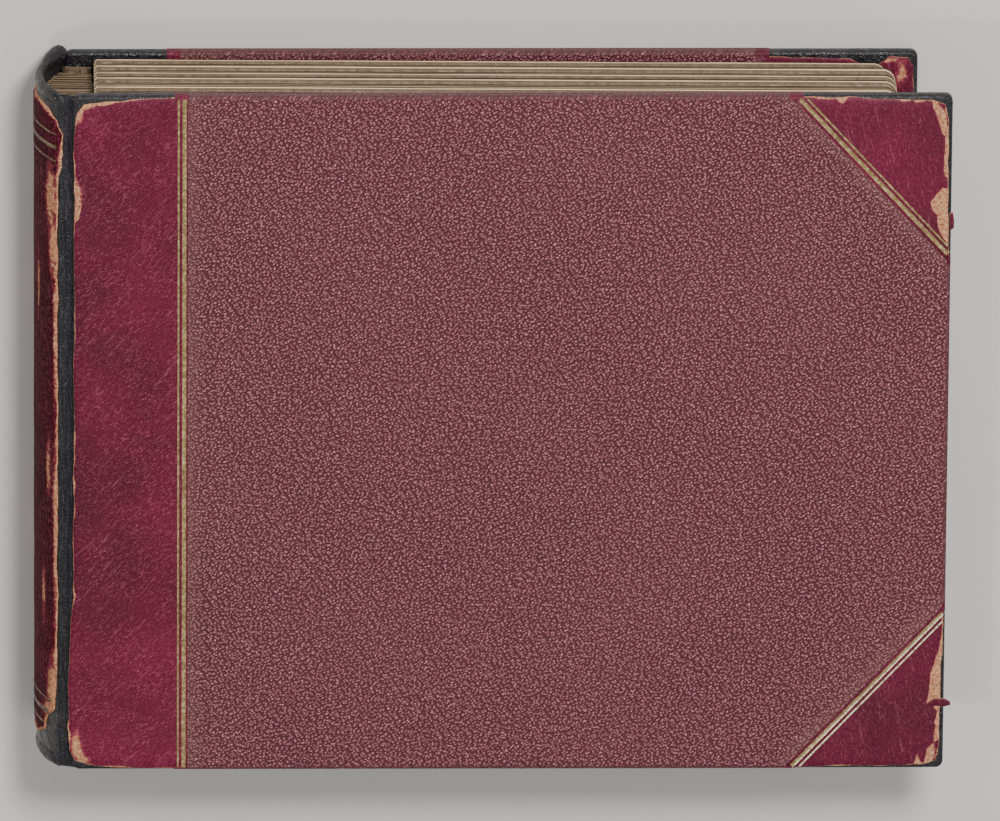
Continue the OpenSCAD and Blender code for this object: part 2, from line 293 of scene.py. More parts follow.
def slab(build, outline, torn, place, thick, spacing, seed, rim=0.7, thin=0.35, flip=False, lumps=0.0,
         wear=(), rim_wear=0.3, rims=(0.25, 0.8), ripple=None, tone=0.0, patches=()):
    """Adds a closed sheet with that outline: place(u, v, h) puts a point h above its lower face. Its torn
    sides are thinned and marked as worn, and so are the wear spots, each (u, v, half-width, half-length), and
    the patches, each a list of corners."""
    patches = [ragged([(u, v, 0.3) for u, v in patch], seed + 31, 0.7)[0] for patch in patches]
    flat, faces = fill(outline, spacing, seed, rims, patches)
    depth_in = [distance_to(patch, flat) * np.where(inside(patch, flat), 1, -1) for patch in patches]
    edge = distance_to(outline, flat)
    is_torn = torn is not None and any(torn)
    torn_edge = distance_to(outline, flat, torn) if is_torn else np.full(len(flat), FAR)
    worn, tops, lows = [], [], []
    for i, (u, v) in enumerate(flat):
        # the value passes 0.5 at the edge of a worn place
        here = 1 - torn_edge[i] / (2 * rim_wear * max(0.15, 0.7 + 1.5 * wobble(u, v, seed + 13, 6)))
        here = max([here, -0.5] + [1 - 0.5 * math.hypot((u - cu) / ru, (v - cv) / rv)
                                   for cu, cv, ru, rv in wear]
                   + [min(1.0, 0.5 + depth[i] / 0.7) for depth in depth_in])
        worn.append(here)
        full = thin + (1 - thin) * smooth((torn_edge if is_torn else edge)[i] / rim)
        h = thick * full - 0.12 * smooth((here - 0.3) / 0.3)
        if lumps:
            h += lumps * smooth(edge[i] / 2) * wobble(u, v, seed + 3, 2.2)
        if ripple:
            h += ripple(u, v)
        tops.append(place(u, v, h))
        lows.append(place(u, v, 0.0))
    n = len(flat)
    solid = faces + [tuple(n + i for i in reversed(f)) for f in faces]
    solid += [(a, n + a, n + b, b) for a, b in border(faces)]
    build.add(tops + lows, reverse(solid) if flip else solid, worn=worn * 2, edge=list(edge) * 2,
              tone=[tone] * 2 * n, level=[1.0] * n + [0.0] * n)


def perimeter(cover, start, end, step=2.5):
    """Points around a cover's rounded outline with their outward normals, in reading order: head edge to the
    right, fore edge down, tail edge to the left, spine edge up. The start and the end are (edge name, place
    along it)."""
    x0, x1, h, r = cover["x0"], cover["x1"], HALF_H, PLAN_R
    runs = {"head": (Vector((x0 + r, h)), Vector((x1 - r, h)), Vector((0, 1))),
            "fore": (Vector((x1, h - r)), Vector((x1, r - h)), Vector((1, 0))),
            "tail": (Vector((x1 - r, -h)), Vector((x0 + r, -h)), Vector((0, -1))),
            "spine": (Vector((x0, r - h)), Vector((x0, h - r)), Vector((-1, 0)))}
    order = ["head", "fore", "tail", "spine"] * 2
    first = order.index(start[0])
    samples = []
    for n, name in enumerate(order[first:]):
        a, b, normal = runs[name]
        across = 0 if normal.x == 0 else 1
        lo, hi = a[across], b[across]
        begin = start[1] if n == 0 else lo
        last = name == end[0] and (n > 0 or start[0] == end[0])
        stop = end[1] if last else hi
        count = max(1, int(abs(stop - begin) / step))
        for k in range(count + 1):
            p = a.copy()
            p[across] = begin + (stop - begin) * k / count
            samples.append((p, normal))
        if last:
            return samples
        centre = b - normal * r
        for k in range(1, 6):
            a_now = math.atan2(normal.y, normal.x) - math.pi / 2 * k / 6
            out = Vector((math.cos(a_now), math.sin(a_now)))
            samples.append((centre + out * r, out))
    return samples


def covering(build, cover, runs, layer, thick, bottom, turns=None, gaps=None, seed=1, ripple=None, face=True):
    """Adds a covering that lies on the face at that depth, bends over the board edge along each run of
    samples and is turned in to lie at the bottom depth. Between the runs its face ends in cut sides."""
    x0, x1, h, r = cover["x0"], cover["x1"], HALF_H, EDGE_R
    gaps = gaps or [[] for _ in runs]
    bend = [k * math.pi / 12 for k in range(7)]

    def profile(limit, deeper):
        rr = r - deeper
        return [(r - rr * math.sin(a), layer + r - rr * math.cos(a)) for a in bend] \
            + [(r - rr, (layer + bottom) / 2)] \
            + [(r - rr * math.cos(a), bottom - r + rr * math.sin(a)) for a in bend] \
            + [(r + (limit - r) * k / 4, bottom - deeper) for k in range(1, 5)]

    def put(p, normal, inset, depth):
        q = p - normal * inset
        if inset > PLAN_R:
            q = Vector((min(max(q.x, x0 + inset), x1 - inset), min(max(q.y, inset - h), h - inset)))
        return (q.x, q.y, cover["z"] + cover["into"] * depth)

    points, faces, outline, cuts, marks, rub = [], [], [], [], [], []
    width = len(profile(TURN_IN, 0.0))
    for number, samples in enumerate(runs):
        faces += lattice(len(samples), width, len(points), (1,) if face else (0, 1))
        for deeper in (0.0, thick):
            for i, (p, normal) in enumerate(samples):
                for inset, depth in profile(turns[i] if turns else TURN_IN, deeper):
                    points.append(put(p, normal, inset, depth))
                    # marks the bent edge, which the cloth paints darker as painted shade and rubs flatter
                    rub.append(1.0 if inset < 0.8 * r else 0.25)
        outline += [(p.x - n.x * r, p.y - n.y * r) for p, n in samples] + list(gaps[number])
        side = [tuple(samples[-1][0])] + list(gaps[number])
        cuts += side + [tuple(runs[(number + 1) % len(runs)][0][0])]
        marks += [True] * len(side) + [False]
    if face:
        flat, tris = fill(outline, 5.0, seed, (1.5,))
        edge = distance_to(outline, flat)
        first, n = len(points), len(flat)
        for deeper in (0.0, thick):
            for i, (u, v) in enumerate(flat):
                lift = ripple(u, v) * smooth(edge[i] / 6) if ripple else 0.0
                points.append((u, v, cover["z"] + cover["into"] * (layer + deeper - lift)))
        faces += [tuple(first + i for i in reversed(t)) for t in tris]
        faces += [tuple(first + n + i for i in t) for t in tris]
        bent = {(round(p.x - m.x * r, 3), round(p.y - m.y * r, 3)) for samples in runs for p, m in samples}
        for a, b in border(tris):
            on_bend = all((round(flat[i][0], 3), round(flat[i][1], 3)) in bent for i in (a, b))
            if not on_bend or math.dist(flat[a], flat[b]) > LONGEST_STEP:
                faces.append((first + a, first + b, first + n + b, first + n + a))
    fade = distance_to(cuts, [q[:2] for q in points], marks) if face else [FAR] * len(points)
    build.add(points, reverse(faces) if cover["into"] > 0 else faces, edge=list(fade),
              rub=rub + [0.0] * (len(points) - len(rub)))


def on_face(cover, depth):
    """Places a point above that depth of a cover's face, and lets it fall away over the rounded edge."""
    def place(u, v, h):
        over = max(0.0, EDGE_R - (cover["x1"] - u), EDGE_R - (u - cover["x0"]), EDGE_R - (HALF_H - abs(v)))
        drop = EDGE_R - math.sqrt(max(0.0, EDGE_R ** 2 - min(over, EDGE_R) ** 2))
        return (u, v, cover["z"] + cover["into"] * (depth + drop - h))
    return place


def on_inside(cover, depth):
    """Places a point on the inner face, h nearer to the leaves than that depth."""
    return lambda u, v, h: (u, v, cover["z"] + cover["into"] * (depth + h))


def on_spine(depth, rise=0.0):
    """Unrolls the spine: u runs round the curve from the crown, and is positive towards the front cover."""
    radius = SPINE_R - depth

    def place(u, v, h):
        a = u / SPINE_R
        over = 0.0
        if abs(a) > SHOULDER_A:
            over = (abs(a) - SHOULDER_A) * SPINE_R
            a = math.copysign(SHOULDER_A, a)
        r = radius + h
        x, z = ARC_X - r * math.cos(a), MID_Z + r * math.sin(a)
        return (x + over, v, z + math.copysign(rise * over, a))
    return place


# ---------------------------------------------------------------- shader helper
class Shader:
    """A procedural material, in object coordinates."""

    def __init__(self, name, **sockets):
        self.material = bpy.data.materials.new(name)
        self.material.use_nodes = True
        self.tree = self.material.node_tree
        self.tree.nodes.clear()
        inputs = {key.replace("_", " "): value for key, value in sockets.items()}
        self.bsdf = self.node("BsdfPrincipled", inputs)
        self.node("OutputMaterial", {"Surface": self.bsdf.outputs[0]})
        self.place = self.node("TexCoord").outputs["Object"]

    def node(self, kind, inputs=None, **settings):
        made = self.tree.nodes.new("ShaderNode" + kind)
        for key, value in settings.items():
            setattr(made, key, value)
        for key, value in (inputs or {}).items():
            self.put(made.inputs[key], value)
        return made

    def put(self, socket, value):
        if isinstance(value, bpy.types.NodeSocket):
            self.tree.links.new(value, socket)
        else:
            socket.default_value = (*value, 1) if socket.type == "RGBA" and len(value) == 3 else value

    def stretched(self, size, turn=0.0):
        """Coordinates in which features are that many times as long, on axes turned by that many degrees."""
        inputs = {"Vector": self.place, "Rotation": (0, 0, math.radians(turn)), "Scale": size}
        return self.node("Mapping", inputs, vector_type="TEXTURE").outputs[0]

    def noise(self, size, detail=3.0, rough=0.55, vector=None):
        """Noise with features of about that size in millimetres, from 0 to 1."""
        return self.node("TexNoise", {"Vector": vector or self.place, "Scale": 1000.0 / size,
                                      "Detail": detail, "Roughness": rough}).outputs["Fac"]

    def cells(self, size, vector=None, smoothness=None, flat=False, loose=1.0):
        """Distance to the middle of the nearest cell."""
        made = self.node("TexVoronoi", feature="SMOOTH_F1" if smoothness else "F1",
                         voronoi_dimensions="2D" if flat else "3D")
        for key, value in (("Vector", vector or self.place), ("Scale", 1000.0 / size), ("Randomness", loose),
                           ("Smoothness", smoothness)):
            if value is not None:
                self.put(made.inputs[key], value)
        return made.outputs["Distance"]

    def round_edges(self):
        """Makes a flat pattern run on over the board edges: height is added to both directions."""
        parts = self.node("SeparateXYZ", {0: self.place}).outputs
        sums = {i: self.math("ADD", parts[i], parts[2]) for i in (0, 1)}
        self.place = self.node("CombineXYZ", sums).outputs[0]

    def math(self, op, a, b=0.0, clamp=False):
        return self.node("Math", {0: a, 1: b}, operation=op, use_clamp=clamp).outputs[0]

    def step(self, value, low, high, out_low=0.0, out_high=1.0):
        """A smooth change from one output to the other as the value passes from low to high."""
        return self.node("MapRange", {"Value": value, "From Min": low, "From Max": high, "To Min": out_low,
                                      "To Max": out_high}, interpolation_type="SMOOTHSTEP").outputs[0]

    def ramp(self, value, *stops):
        made = self.node("ValToRGB", {0: value})
        elements = made.color_ramp.elements
        while len(elements) < len(stops):
            elements.new(0.5)
        for element, (at, colour) in zip(elements, stops):
            element.position, element.color = at, (*colour, 1)
        return made.outputs[0]

    def mix(self, share, a, b, kind="MIX"):
        return self.node("Mix", {0: share, 6: a, 7: b}, data_type="RGBA", blend_type=kind).outputs[2]

    def specks(self, colour, other, share, low, high, size, detail, rough=0.55):
        """The other colour over that share, where noise passes from low to high."""
        return self.mix(self.step(self.noise(size, detail, rough), low, high, 0.0, share), colour, other)

    def attribute(self, name):
        return self.node("Attribute", attribute_name=name).outputs["Fac"]

    def bump(self, height, strength, depth, normal=None):
        """Bump of that depth in millimetres."""
        inputs = {"Strength": strength, "Distance": depth * MM, "Height": height}
        return self.node("Bump", inputs if normal is None else {**inputs, "Normal": normal}).outputs[0]

    def finish(self, colour, roughness, normal=None, metal=None):
        for key, value in (("Base Color", colour), ("Roughness", roughness), ("Normal", normal),
                           ("Metallic", metal)):
            if value is not None:
                self.put(self.bsdf.inputs[key], value)
        return self.material


def rgb(r, g, b):
    """A colour from 0 to 255 as linear light."""
    return tuple((c / 255 / 12.92) if c <= 10 else ((c / 255 + 0.055) / 1.055) ** 2.4 for c in (r, g, b))


def cloth_material():
    """Book cloth with an embossed pebble grain, paler on top of the pebbles as worn tops and painted highlight,
    darker in its hollows as painted shade, rubbed flatter and painted darker along the bent edges as painted
    shade, and faded beside the leather."""
    s = Shader("book_cloth", Specular_IOR_Level=0.5)
    s.round_edges()
    pebble = s.cells(0.82, s.stretched((1.3, 0.88, 1.0), 32), 0.18, True, 0.78)
    top = s.math("SUBTRACT", 1.0, s.math("MULTIPLY", s.math("POWER", pebble, 2.0), 2.6), True)
    varied = s.math("MULTIPLY", top, s.step(s.noise(0.8, 2), 0.3, 0.7, 0.66, 1.0))
    # the ramp paints the pebble tops pale and the hollows dark: partly worn tops, partly painted highlight and
    # painted shade
    colour = s.ramp(varied, (0.1, rgb(80, 26, 36)), (0.4, rgb(102, 45, 55)), (0.75, rgb(131, 68, 78)),
                    (0.95, rgb(214, 150, 160)))
    colour = s.specks(colour, rgb(150, 84, 90), 0.07, 0.35, 0.7, 55, 3)
    near = s.math("ADD", s.attribute("edge"), s.math("MULTIPLY", s.noise(5, 3), 7.0))
    colour = s.mix(s.step(near, 3.5, 8.5, 0.34, 0.0), colour, rgb(134, 92, 84))
    colour = s.specks(colour, rgb(180, 128, 130), 0.3, 0.66, 0.78, 0.7, 2)
    # the bent edges are painted darker, as painted shade against the light they catch, and their grain is
    # rubbed flatter
    rub = s.math("MULTIPLY", s.attribute("rub"), s.step(s.noise(3, 4, 0.65), 0.3, 0.6, 0.45, 0.85))
    colour = s.mix(rub, colour, rgb(84, 37, 41))
    normal = s.bump(s.noise(0.35, 2), 0.25, 0.05)
    normal = s.bump(s.math("MULTIPLY", top, s.step(rub, 0.2, 0.8, 1.0, 0.5)), 1.0, 0.34, normal)
    return s.finish(colour, s.step(varied, 0.3, 0.95, 0.6, 0.3), normal)


def red_material(name, dark, base, light, grain_turn, crease, gloss=0.28, matt=0.5):
    """Old red leather: a fine straight hatch, worn to the flesh side where the worn value passes a half."""
    s = Shader(name, Specular_IOR_Level=gloss)
    hatch = s.noise(0.4, 3, 0.72, s.stretched((2.8, 0.8, 1.0), grain_turn))
    creases = s.noise(1.3, 3, 0.6, s.stretched((7.0, 0.6, 1.0), grain_turn + 5))
    colour = s.ramp(s.noise(30, 4), (0.3, dark), (0.5, base), (0.72, light))
    scuff = s.step(hatch, 0.54, 0.64, 0.0, 0.75 * crease)
    colour = s.mix(s.math("MULTIPLY", scuff, s.step(s.noise(11, 3), 0.3, 0.62, 0.35, 1.0)), colour,
                   rgb(176, 84, 108))
    colour = s.mix(s.step(creases, 0.6, 0.68, 0.0, 0.3), colour, rgb(172, 92, 110))
    colour = s.mix(s.step(hatch, 0.46, 0.34, 0.0, 0.75), colour, dark)
    colour = s.specks(colour, tuple(c * 0.5 for c in dark), 0.7, 0.56, 0.68, 0.4, 2)
    colour = s.specks(colour, rgb(190, 108, 126), 0.5, 0.64, 0.74, 0.32, 1)
    fray = s.math("MULTIPLY", s.math("SUBTRACT", s.noise(1.4, 4, 0.75), 0.5), 1.1)
    frayed = s.math("ADD", s.attribute("worn"), fray)
    bare = s.step(frayed, 0.46, 0.56)
    flesh = s.ramp(s.noise(0.9, 3, 0.7), (0.3, rgb(150, 84, 66)), (0.5, rgb(196, 138, 102)),
                   (0.7, rgb(228, 178, 138)))
    flesh = s.mix(s.step(s.cells(0.9), 0.14, 0.34, 0.8, 0.0), flesh, rgb(128, 60, 60))
    colour = s.mix(s.step(frayed, 0.2, 0.46, 0.0, 0.5), colour, rgb(176, 78, 88))
    normal = s.bump(s.cells(0.55, None, 0.5), 0.4, 0.1)
    normal = s.bump(hatch, crease, 0.2, normal)
    normal = s.bump(creases, 0.3, 0.3, normal)
    normal = s.bump(s.math("SUBTRACT", 1.0, bare), 0.5, 0.2, normal)
    return s.finish(s.mix(bare, colour, flesh), s.step(bare, 0.0, 1.0, matt, 0.9), normal)


def black_material(name, stretch):
    """New black leather, creased along the stretch and polished in places."""
    s = Shader(name, Specular_IOR_Level=0.42)
    creases = s.noise(0.8, 4, 0.65, s.stretched(stretch))
    colour = s.ramp(s.noise(9, 4), (0.3, rgb(15, 14, 17)), (0.55, rgb(25, 23, 27)), (0.8, rgb(43, 39, 43)))
    # painted highlights: the crease ridges and small specks are painted pale grey
    colour = s.mix(s.step(creases, 0.54, 0.7, 0.0, 0.5), colour, rgb(86, 82, 86))
    colour = s.specks(colour, rgb(120, 116, 120), 0.4, 0.6, 0.72, 0.45, 2)
    normal = s.bump(creases, 0.8, 0.3, s.bump(s.cells(0.62, None, 0.35), 0.7, 0.2))
    return s.finish(colour, s.step(s.noise(2.5, 3), 0.3, 0.7, 0.24, 0.52), normal)


def gilt_material(name, under, worn, faded=0.0):
    """Gold leaf, gone in places where what lies under it shows, and painted near white where it is marked: a
    painted highlight.
    """
    s = Shader(name, Specular_IOR_Level=0.5)
    wear = s.noise(0.7, 4, 0.7)
    held = s.math("ADD", s.math("MULTIPLY", wear, 0.6), s.math("MULTIPLY", s.noise(6, 3), 0.4))
    gone = s.step(held, worn, worn + 0.09)
    gold = s.ramp(s.noise(1.1, 3), (0.3, rgb(122, 100, 58)), (0.5, rgb(158, 136, 86)),
                  (0.75, rgb(216, 198, 148)))
    colour = s.mix(gone, s.mix(faded, gold, under), under)
    # painted highlight: where a line is marked, it is painted near white in patches
    painted_glint = s.math("MULTIPLY", s.attribute("tone"), s.step(s.noise(0.9, 3), 0.38, 0.52, 0.15, 1.0))
    return s.finish(s.mix(painted_glint, colour, rgb(255, 242, 208)), s.step(wear, 0.3, 0.7, 0.36, 0.56),
                    s.bump(s.noise(0.5, 3), 0.5, 0.1), s.step(gone, 0.0, 1.0, 0.4, 0.0))


def paper_material(name, dark, base, light, fibre, layers=0.0, sides=1.0, uses_painted_light=False):
    """Card and paper: fibres and foxing, with thin plies on the edges where layers is set."""
    s = Shader(name, Specular_IOR_Level=0.25)
    colour = s.ramp(s.noise(fibre, 4, 0.7), (0.3, dark), (0.52, base), (0.75, light))
    colour = s.specks(colour, dark, 0.35, 0.5, 0.75, 28, 4)
    colour = s.specks(colour, rgb(140, 96, 62), 0.35, 0.7, 0.78, 3.4, 2)
    normal = s.bump(s.noise(0.6, 4, 0.7), 0.25, 0.06)
    if uses_painted_light:
        # painted light: pieces marked for it are painted lighter
        colour = s.mix(s.step(s.attribute("tone"), 0.0, 1.0, 0.0, 0.75), colour, rgb(206, 178, 146))
    if layers:
        # the edge value is nought on a cut side, whose upper rim is painted bright as a painted highlight and
        # lower part dark as dust and painted shade
        plies = s.noise(layers, 2, 0.5, s.stretched((90.0, 90.0, 1.0)))
        edge = s.attribute("edge")
        cut = s.step(edge, 0.03, 0.12, 1.0, 0.0)
        rim = s.math("ADD", s.attribute("level"), s.math("MULTIPLY", s.math("SUBTRACT", plies, 0.5), 1.1))
        side = s.ramp(rim, (0.1, rgb(34, 23, 15)), (0.52, rgb(94, 70, 49)), (0.84, rgb(255, 222, 178)))
        side = s.mix(1.0, side, (sides, sides, sides), "MULTIPLY")
        # the faces are painted darker near the cut edge: soiling, and painted shade where the leaf above shades
        # them
        soil_and_shade = s.step(s.math("ADD", edge, s.math("MULTIPLY", s.noise(2, 3), 1.2)), 0.9, 2.6, 0.8, 0.0)
        colour = s.mix(soil_and_shade, colour, tuple(c * 0.45 for c in dark))
        colour = s.mix(cut, colour, s.mix(0.3, side, colour) if uses_painted_light else side)
        normal = s.bump(s.math("MULTIPLY", plies, cut), 0.5, 0.15, normal)
    return s.finish(colour, 0.85, normal)


def weave_material(name, base, thread, pitch):
    """Linen: two sets of threads that cross at that pitch."""
    s = Shader(name, Specular_IOR_Level=0.2, Sheen_Weight=0.2)
    waves = [s.node("TexWave", {"Vector": s.place, "Scale": 1000.0 / pitch / 6.283, "Distortion": 0.6},
                    bands_direction=axis).outputs["Fac"] for axis in ("X", "Y")]
    cross = s.math("MULTIPLY", *waves)
    colour = s.mix(s.step(s.noise(4, 3), 0.3, 0.7), base, thread)
    # painted shade: darker between the threads, in the hollows of the weave
    colour = s.mix(s.step(cross, 0.1, 0.5, 0.4, 0.0), colour, tuple(c * 0.4 for c in base))
    return s.finish(colour, 0.88, s.bump(cross, 0.5, 0.12))


CLOTH = cloth_material()
RED = red_material("red_leather", rgb(78, 2, 30), rgb(98, 4, 42), rgb(116, 14, 52), 42, 0.9)
RED_CORNER = red_material("red_corner_leather", rgb(76, 2, 30), rgb(95, 3, 41), rgb(114, 12, 51), 96, 0.5)
# the spine's copy of the red leather is darker and less glossy: its darkness is painted shade
RED_SPINE_SHADED = red_material("red_spine_leather_shaded", rgb(48, 3, 14), rgb(66, 6, 21), rgb(88, 16, 32), 90, 0.8, 0.08,
                         0.75)
BLACK = black_material("black_leather", (1.6, 1.6, 1.6))
BLACK_JOINT = black_material("joint_leather", (0.7, 5.0, 1.0))
GILT = gilt_material("gilt", rgb(112, 84, 58), 0.53)
SPINE_GILT = gilt_material("spine_gilt", rgb(70, 28, 28), 0.47, 0.5)
GUARD = paper_material("guard_card", rgb(92, 68, 54), rgb(130, 104, 84), rgb(158, 132, 108), 1.6, 0.5,
                       sides=0.5, uses_painted_light=True)
ENDPAPER = paper_material("endpaper", rgb(176, 162, 134), rgb(200, 188, 162), rgb(214, 204, 182), 2.6)
BOARD = paper_material("paper_board", rgb(112, 96, 74), rgb(140, 122, 96), rgb(160, 142, 114), 1.0)
INFILL = paper_material("infill_paper", rgb(156, 142, 118), rgb(180, 166, 140), rgb(192, 180, 156), 2.0)
LINER = paper_material("liner_paper", rgb(110, 88, 62), rgb(138, 112, 80), rgb(156, 130, 96), 1.5)
LINEN = weave_material("linen", rgb(190, 180, 158), rgb(210, 202, 182), 0.9)
TAPE = weave_material("linen_tape", rgb(178, 162, 128), rgb(204, 190, 158), 0.7)
HINGE = weave_material("hinge_linen", rgb(186, 170, 138), rgb(206, 192, 160), 0.6)
CORD = weave_material("cap_cord", rgb(180, 158, 120), rgb(200, 180, 142), 0.8)


# ---------------------------------------------------------------- covers
def diagonal(cover, side):
    """Ends of a corner's diagonal: on the head or tail edge, and on the fore edge."""
    return ((cover["x1"] - CORNER_LEG_X, side * HALF_H), (cover["x1"], side * (HALF_H - CORNER_LEG_Y)))


def edge_name(side):
    return "head" if side > 0 else "tail"


def make_cloth(name, cover):
    """The cloth of one cover, turned in at head, fore edge and tail between the leather pieces."""
    build = Build()
    x1, line = cover["x1"], cover["line"]
    top, fore = diagonal(cover, 1)
    runs = [perimeter(cover, ("head", line), ("head", top[0])),
            perimeter(cover, ("fore", fore[1]), ("fore", -fore[1])),
            perimeter(cover, ("tail", top[0]), ("tail", line))]
    # the face is cut along the true diagonals, which pass the bend a little further on
    on_head = (top[0] + EDGE_R * CORNER_LEG_X / CORNER_LEG_Y, HALF_H - EDGE_R)
    on_fore = (x1 - EDGE_R, fore[1] + EDGE_R * CORNER_LEG_Y / CORNER_LEG_X)
    gaps = [[on_head, on_fore], [(on_fore[0], -on_fore[1]), (on_head[0], -on_head[1])], []]
    covering(build, cover, runs, 0.0, CLOTH_T, COVER_T, gaps=gaps, seed=3,
             ripple=lambda u, v: 0.10 * wobble(u, v, 11, 45) + 0.05 * wobble(u, v, 12, 16))
    piece = build.finish(name + "_cover_cloth", cover["body"], "book_cloth", CLOTH, name + "_cloth",
                         crease=50, gap=0.004)


# depths below a cover's outer face, and thicknesses
CLOTH_T = 0.45
BLACK_DEPTH, BLACK_T, BLACK_BOTTOM = 0.5, 0.4, 4.2
RED_DEPTH, RED_T = 0.5, 0.42
TURNED_DEPTH, TURNED_T = 4.15, 0.3
SPINE_EDGE_TURN = 3.5  # turn-in of the new leather at the board's spine edge


def make_underlays(name, cover):
    """New black leather: the strip beside the spine, and both corners."""
    x1, line = cover["x1"], cover["line"]
    strip = Build()
    # it also covers the board's spine edge, which stands at x0
    wider = dict(cover, x0=cover["x0"] - 0.5)
    samples = perimeter(wider, ("tail", line - TAB), ("head", line - TAB))
    turns = [TURN_IN if abs(n.y) > 0.99 else SPINE_EDGE_TURN for _, n in samples]
    gap = [(line - TAB, y) for y in np.arange(HALF_H - 8, 8 - HALF_H - 1, -8.0)]
    covering(strip, wider, [samples], BLACK_DEPTH, BLACK_T, BLACK_BOTTOM, turns=turns, gaps=[gap], seed=5,
             ripple=lambda u, v: 0.05 * wobble(u, v, 31, 12))
    strip.finish(name + "_strip_black", cover["body"], "black_leather", BLACK, name + "_strip_underlay",
                 crease=50, gap=0.004)
    corners = Build()
    for side in (1, -1):
        top, fore = diagonal(cover, side)
        ends = [(edge_name(side), top[0] + TAB), ("fore", fore[1] + side * TAB)]
        gap = [(x1 - 2.5, ends[1][1]), (ends[0][1], side * (HALF_H - 2.5))]
        covering(corners, cover, [perimeter(cover, *ends[::side])], BLACK_DEPTH, BLACK_T, BLACK_BOTTOM,
                 gaps=[gap[::side]], seed=6)
    corners.finish(name + "_corner_black", cover["body"], "black_leather", BLACK, name + "_corner_underlays",
                   crease=50, gap=0.004)


def tab(build, cover, edge, *ends):
    """A short length of old leather that still goes over the board edge."""
    samples = perimeter(cover, *((edge, end) for end in ends), step=1.2)
    covering(build, cover, [samples], 0.08, 0.35, COVER_T + 0.03, face=False)


# bare places on the strips, as (distance from the spine edge, distance from the head)
STRIP_PATCHES = [[(0.2, 4.6), (0.9, 3.3), (3.1, 2.2), (6.6, 1.4), (11.1, 1.1), (13.5, 1.3), (11.1, 2.1),
                  (6.6, 2.7), (3.1, 4.0), (1.6, 5.5), (1.1, 8.2), (0.2, 8.2)],
                 [(0.3, 30), (1.7, 31), (2.2, 33), (1.4, 37), (0.4, 38)]]
# worn spots on them, as (distance from the spine edge, distance from the head or minus that from the tail,
# half-width, half-length)
STRIP_WEAR = {
    "front": [(0.8, 30, 1.3, 3.6), (5, 1.2, 2.0, 0.8), (0.6, -8, 1.2, 4.0), (2.5, -3.5, 2.0, 1.2),
              (11, -0.9, 3.0, 0.5), (1.6, 5, 1.0, 2.4)],
    "back": [(0.8, HALF_H - 20, 1.2, 5.0), (2.0, -4, 2.2, 1.6), (2.0, 4, 1.6, 2.4)],
}


def from_end(v):
    """Place along the album from its distance to the head, or minus its distance to the tail."""
    return math.copysign(HALF_H - abs(v), v)


def make_strip_leather(name, cover):
    """Old red leather along the spine side: the outer face, two tabs over the edges, and two turn-ins."""
    x0, line, h = cover["x0"], cover["line"], HALF_H
    width = line - x0
    build = Build()
    corners = [(width, 0.35, 0), (width, -0.35, 0), (width - TAB, -0.35, 0.2), (12, -0.7, 0.35),
               (4, -1.7, 0.35), (0.2, -3, 0.35), (-1.2, -6, 0.4), (-1.8, -13, 0.35), (-1.7, -26, 0.35),
               (-1, -40, 0.3), (-0.2, -56, 0.25), (0.1, h, 0.25), (0.1, 36, 0.35), (0.4, 10, 0.35),
               (1, 5, 0.35), (3, 2.4, 0.45), (9, 1.5, 0.4), (18, 0.9, 0.25), (width - TAB, 0.4, 0.2)]
    outline, torn = ragged([(x0 + u, from_end(v), q) for u, v, q in corners], 21, 1.0, back=True)
    bare = [[(x0 + u, h - v) for u, v in patch] for patch in STRIP_PATCHES]
    wear = [(x0 + u, from_end(v), *half) for u, v, *half in STRIP_WEAR[name]]
    slab(build, outline, torn, on_face(dict(cover, x0=x0 - 2.6), RED_DEPTH), RED_T, 3.0, 22, lumps=0.03,
         wear=wear, flip=cover["into"] > 0, patches=bare)
    tab(build, cover, "head", line - TAB, line)
    tab(build, cover, "tail", line, line - TAB)
    for side in (-1, 1):
        turned = [(width, 1.2, 0), (width, TURN_IN, 0), (9, TURN_IN - 0.6, 0.2), (11, 3.2, 0.3),
                  (width - TAB, 2.6, 0.3), (width - TAB, 1.2, 0)]
        outline, torn = ragged([(x0 + u, side * (h - v), q) for u, v, q in turned[::side]], 23 + side, 1.0)
        slab(build, outline, torn, on_inside(cover, TURNED_DEPTH), TURNED_T, 3.0, 24,
             flip=cover["into"] * side < 0)
    build.finish(name + "_strip_red", cover["body"], "red_leather", RED, name + "_strip_leather", crease=60)


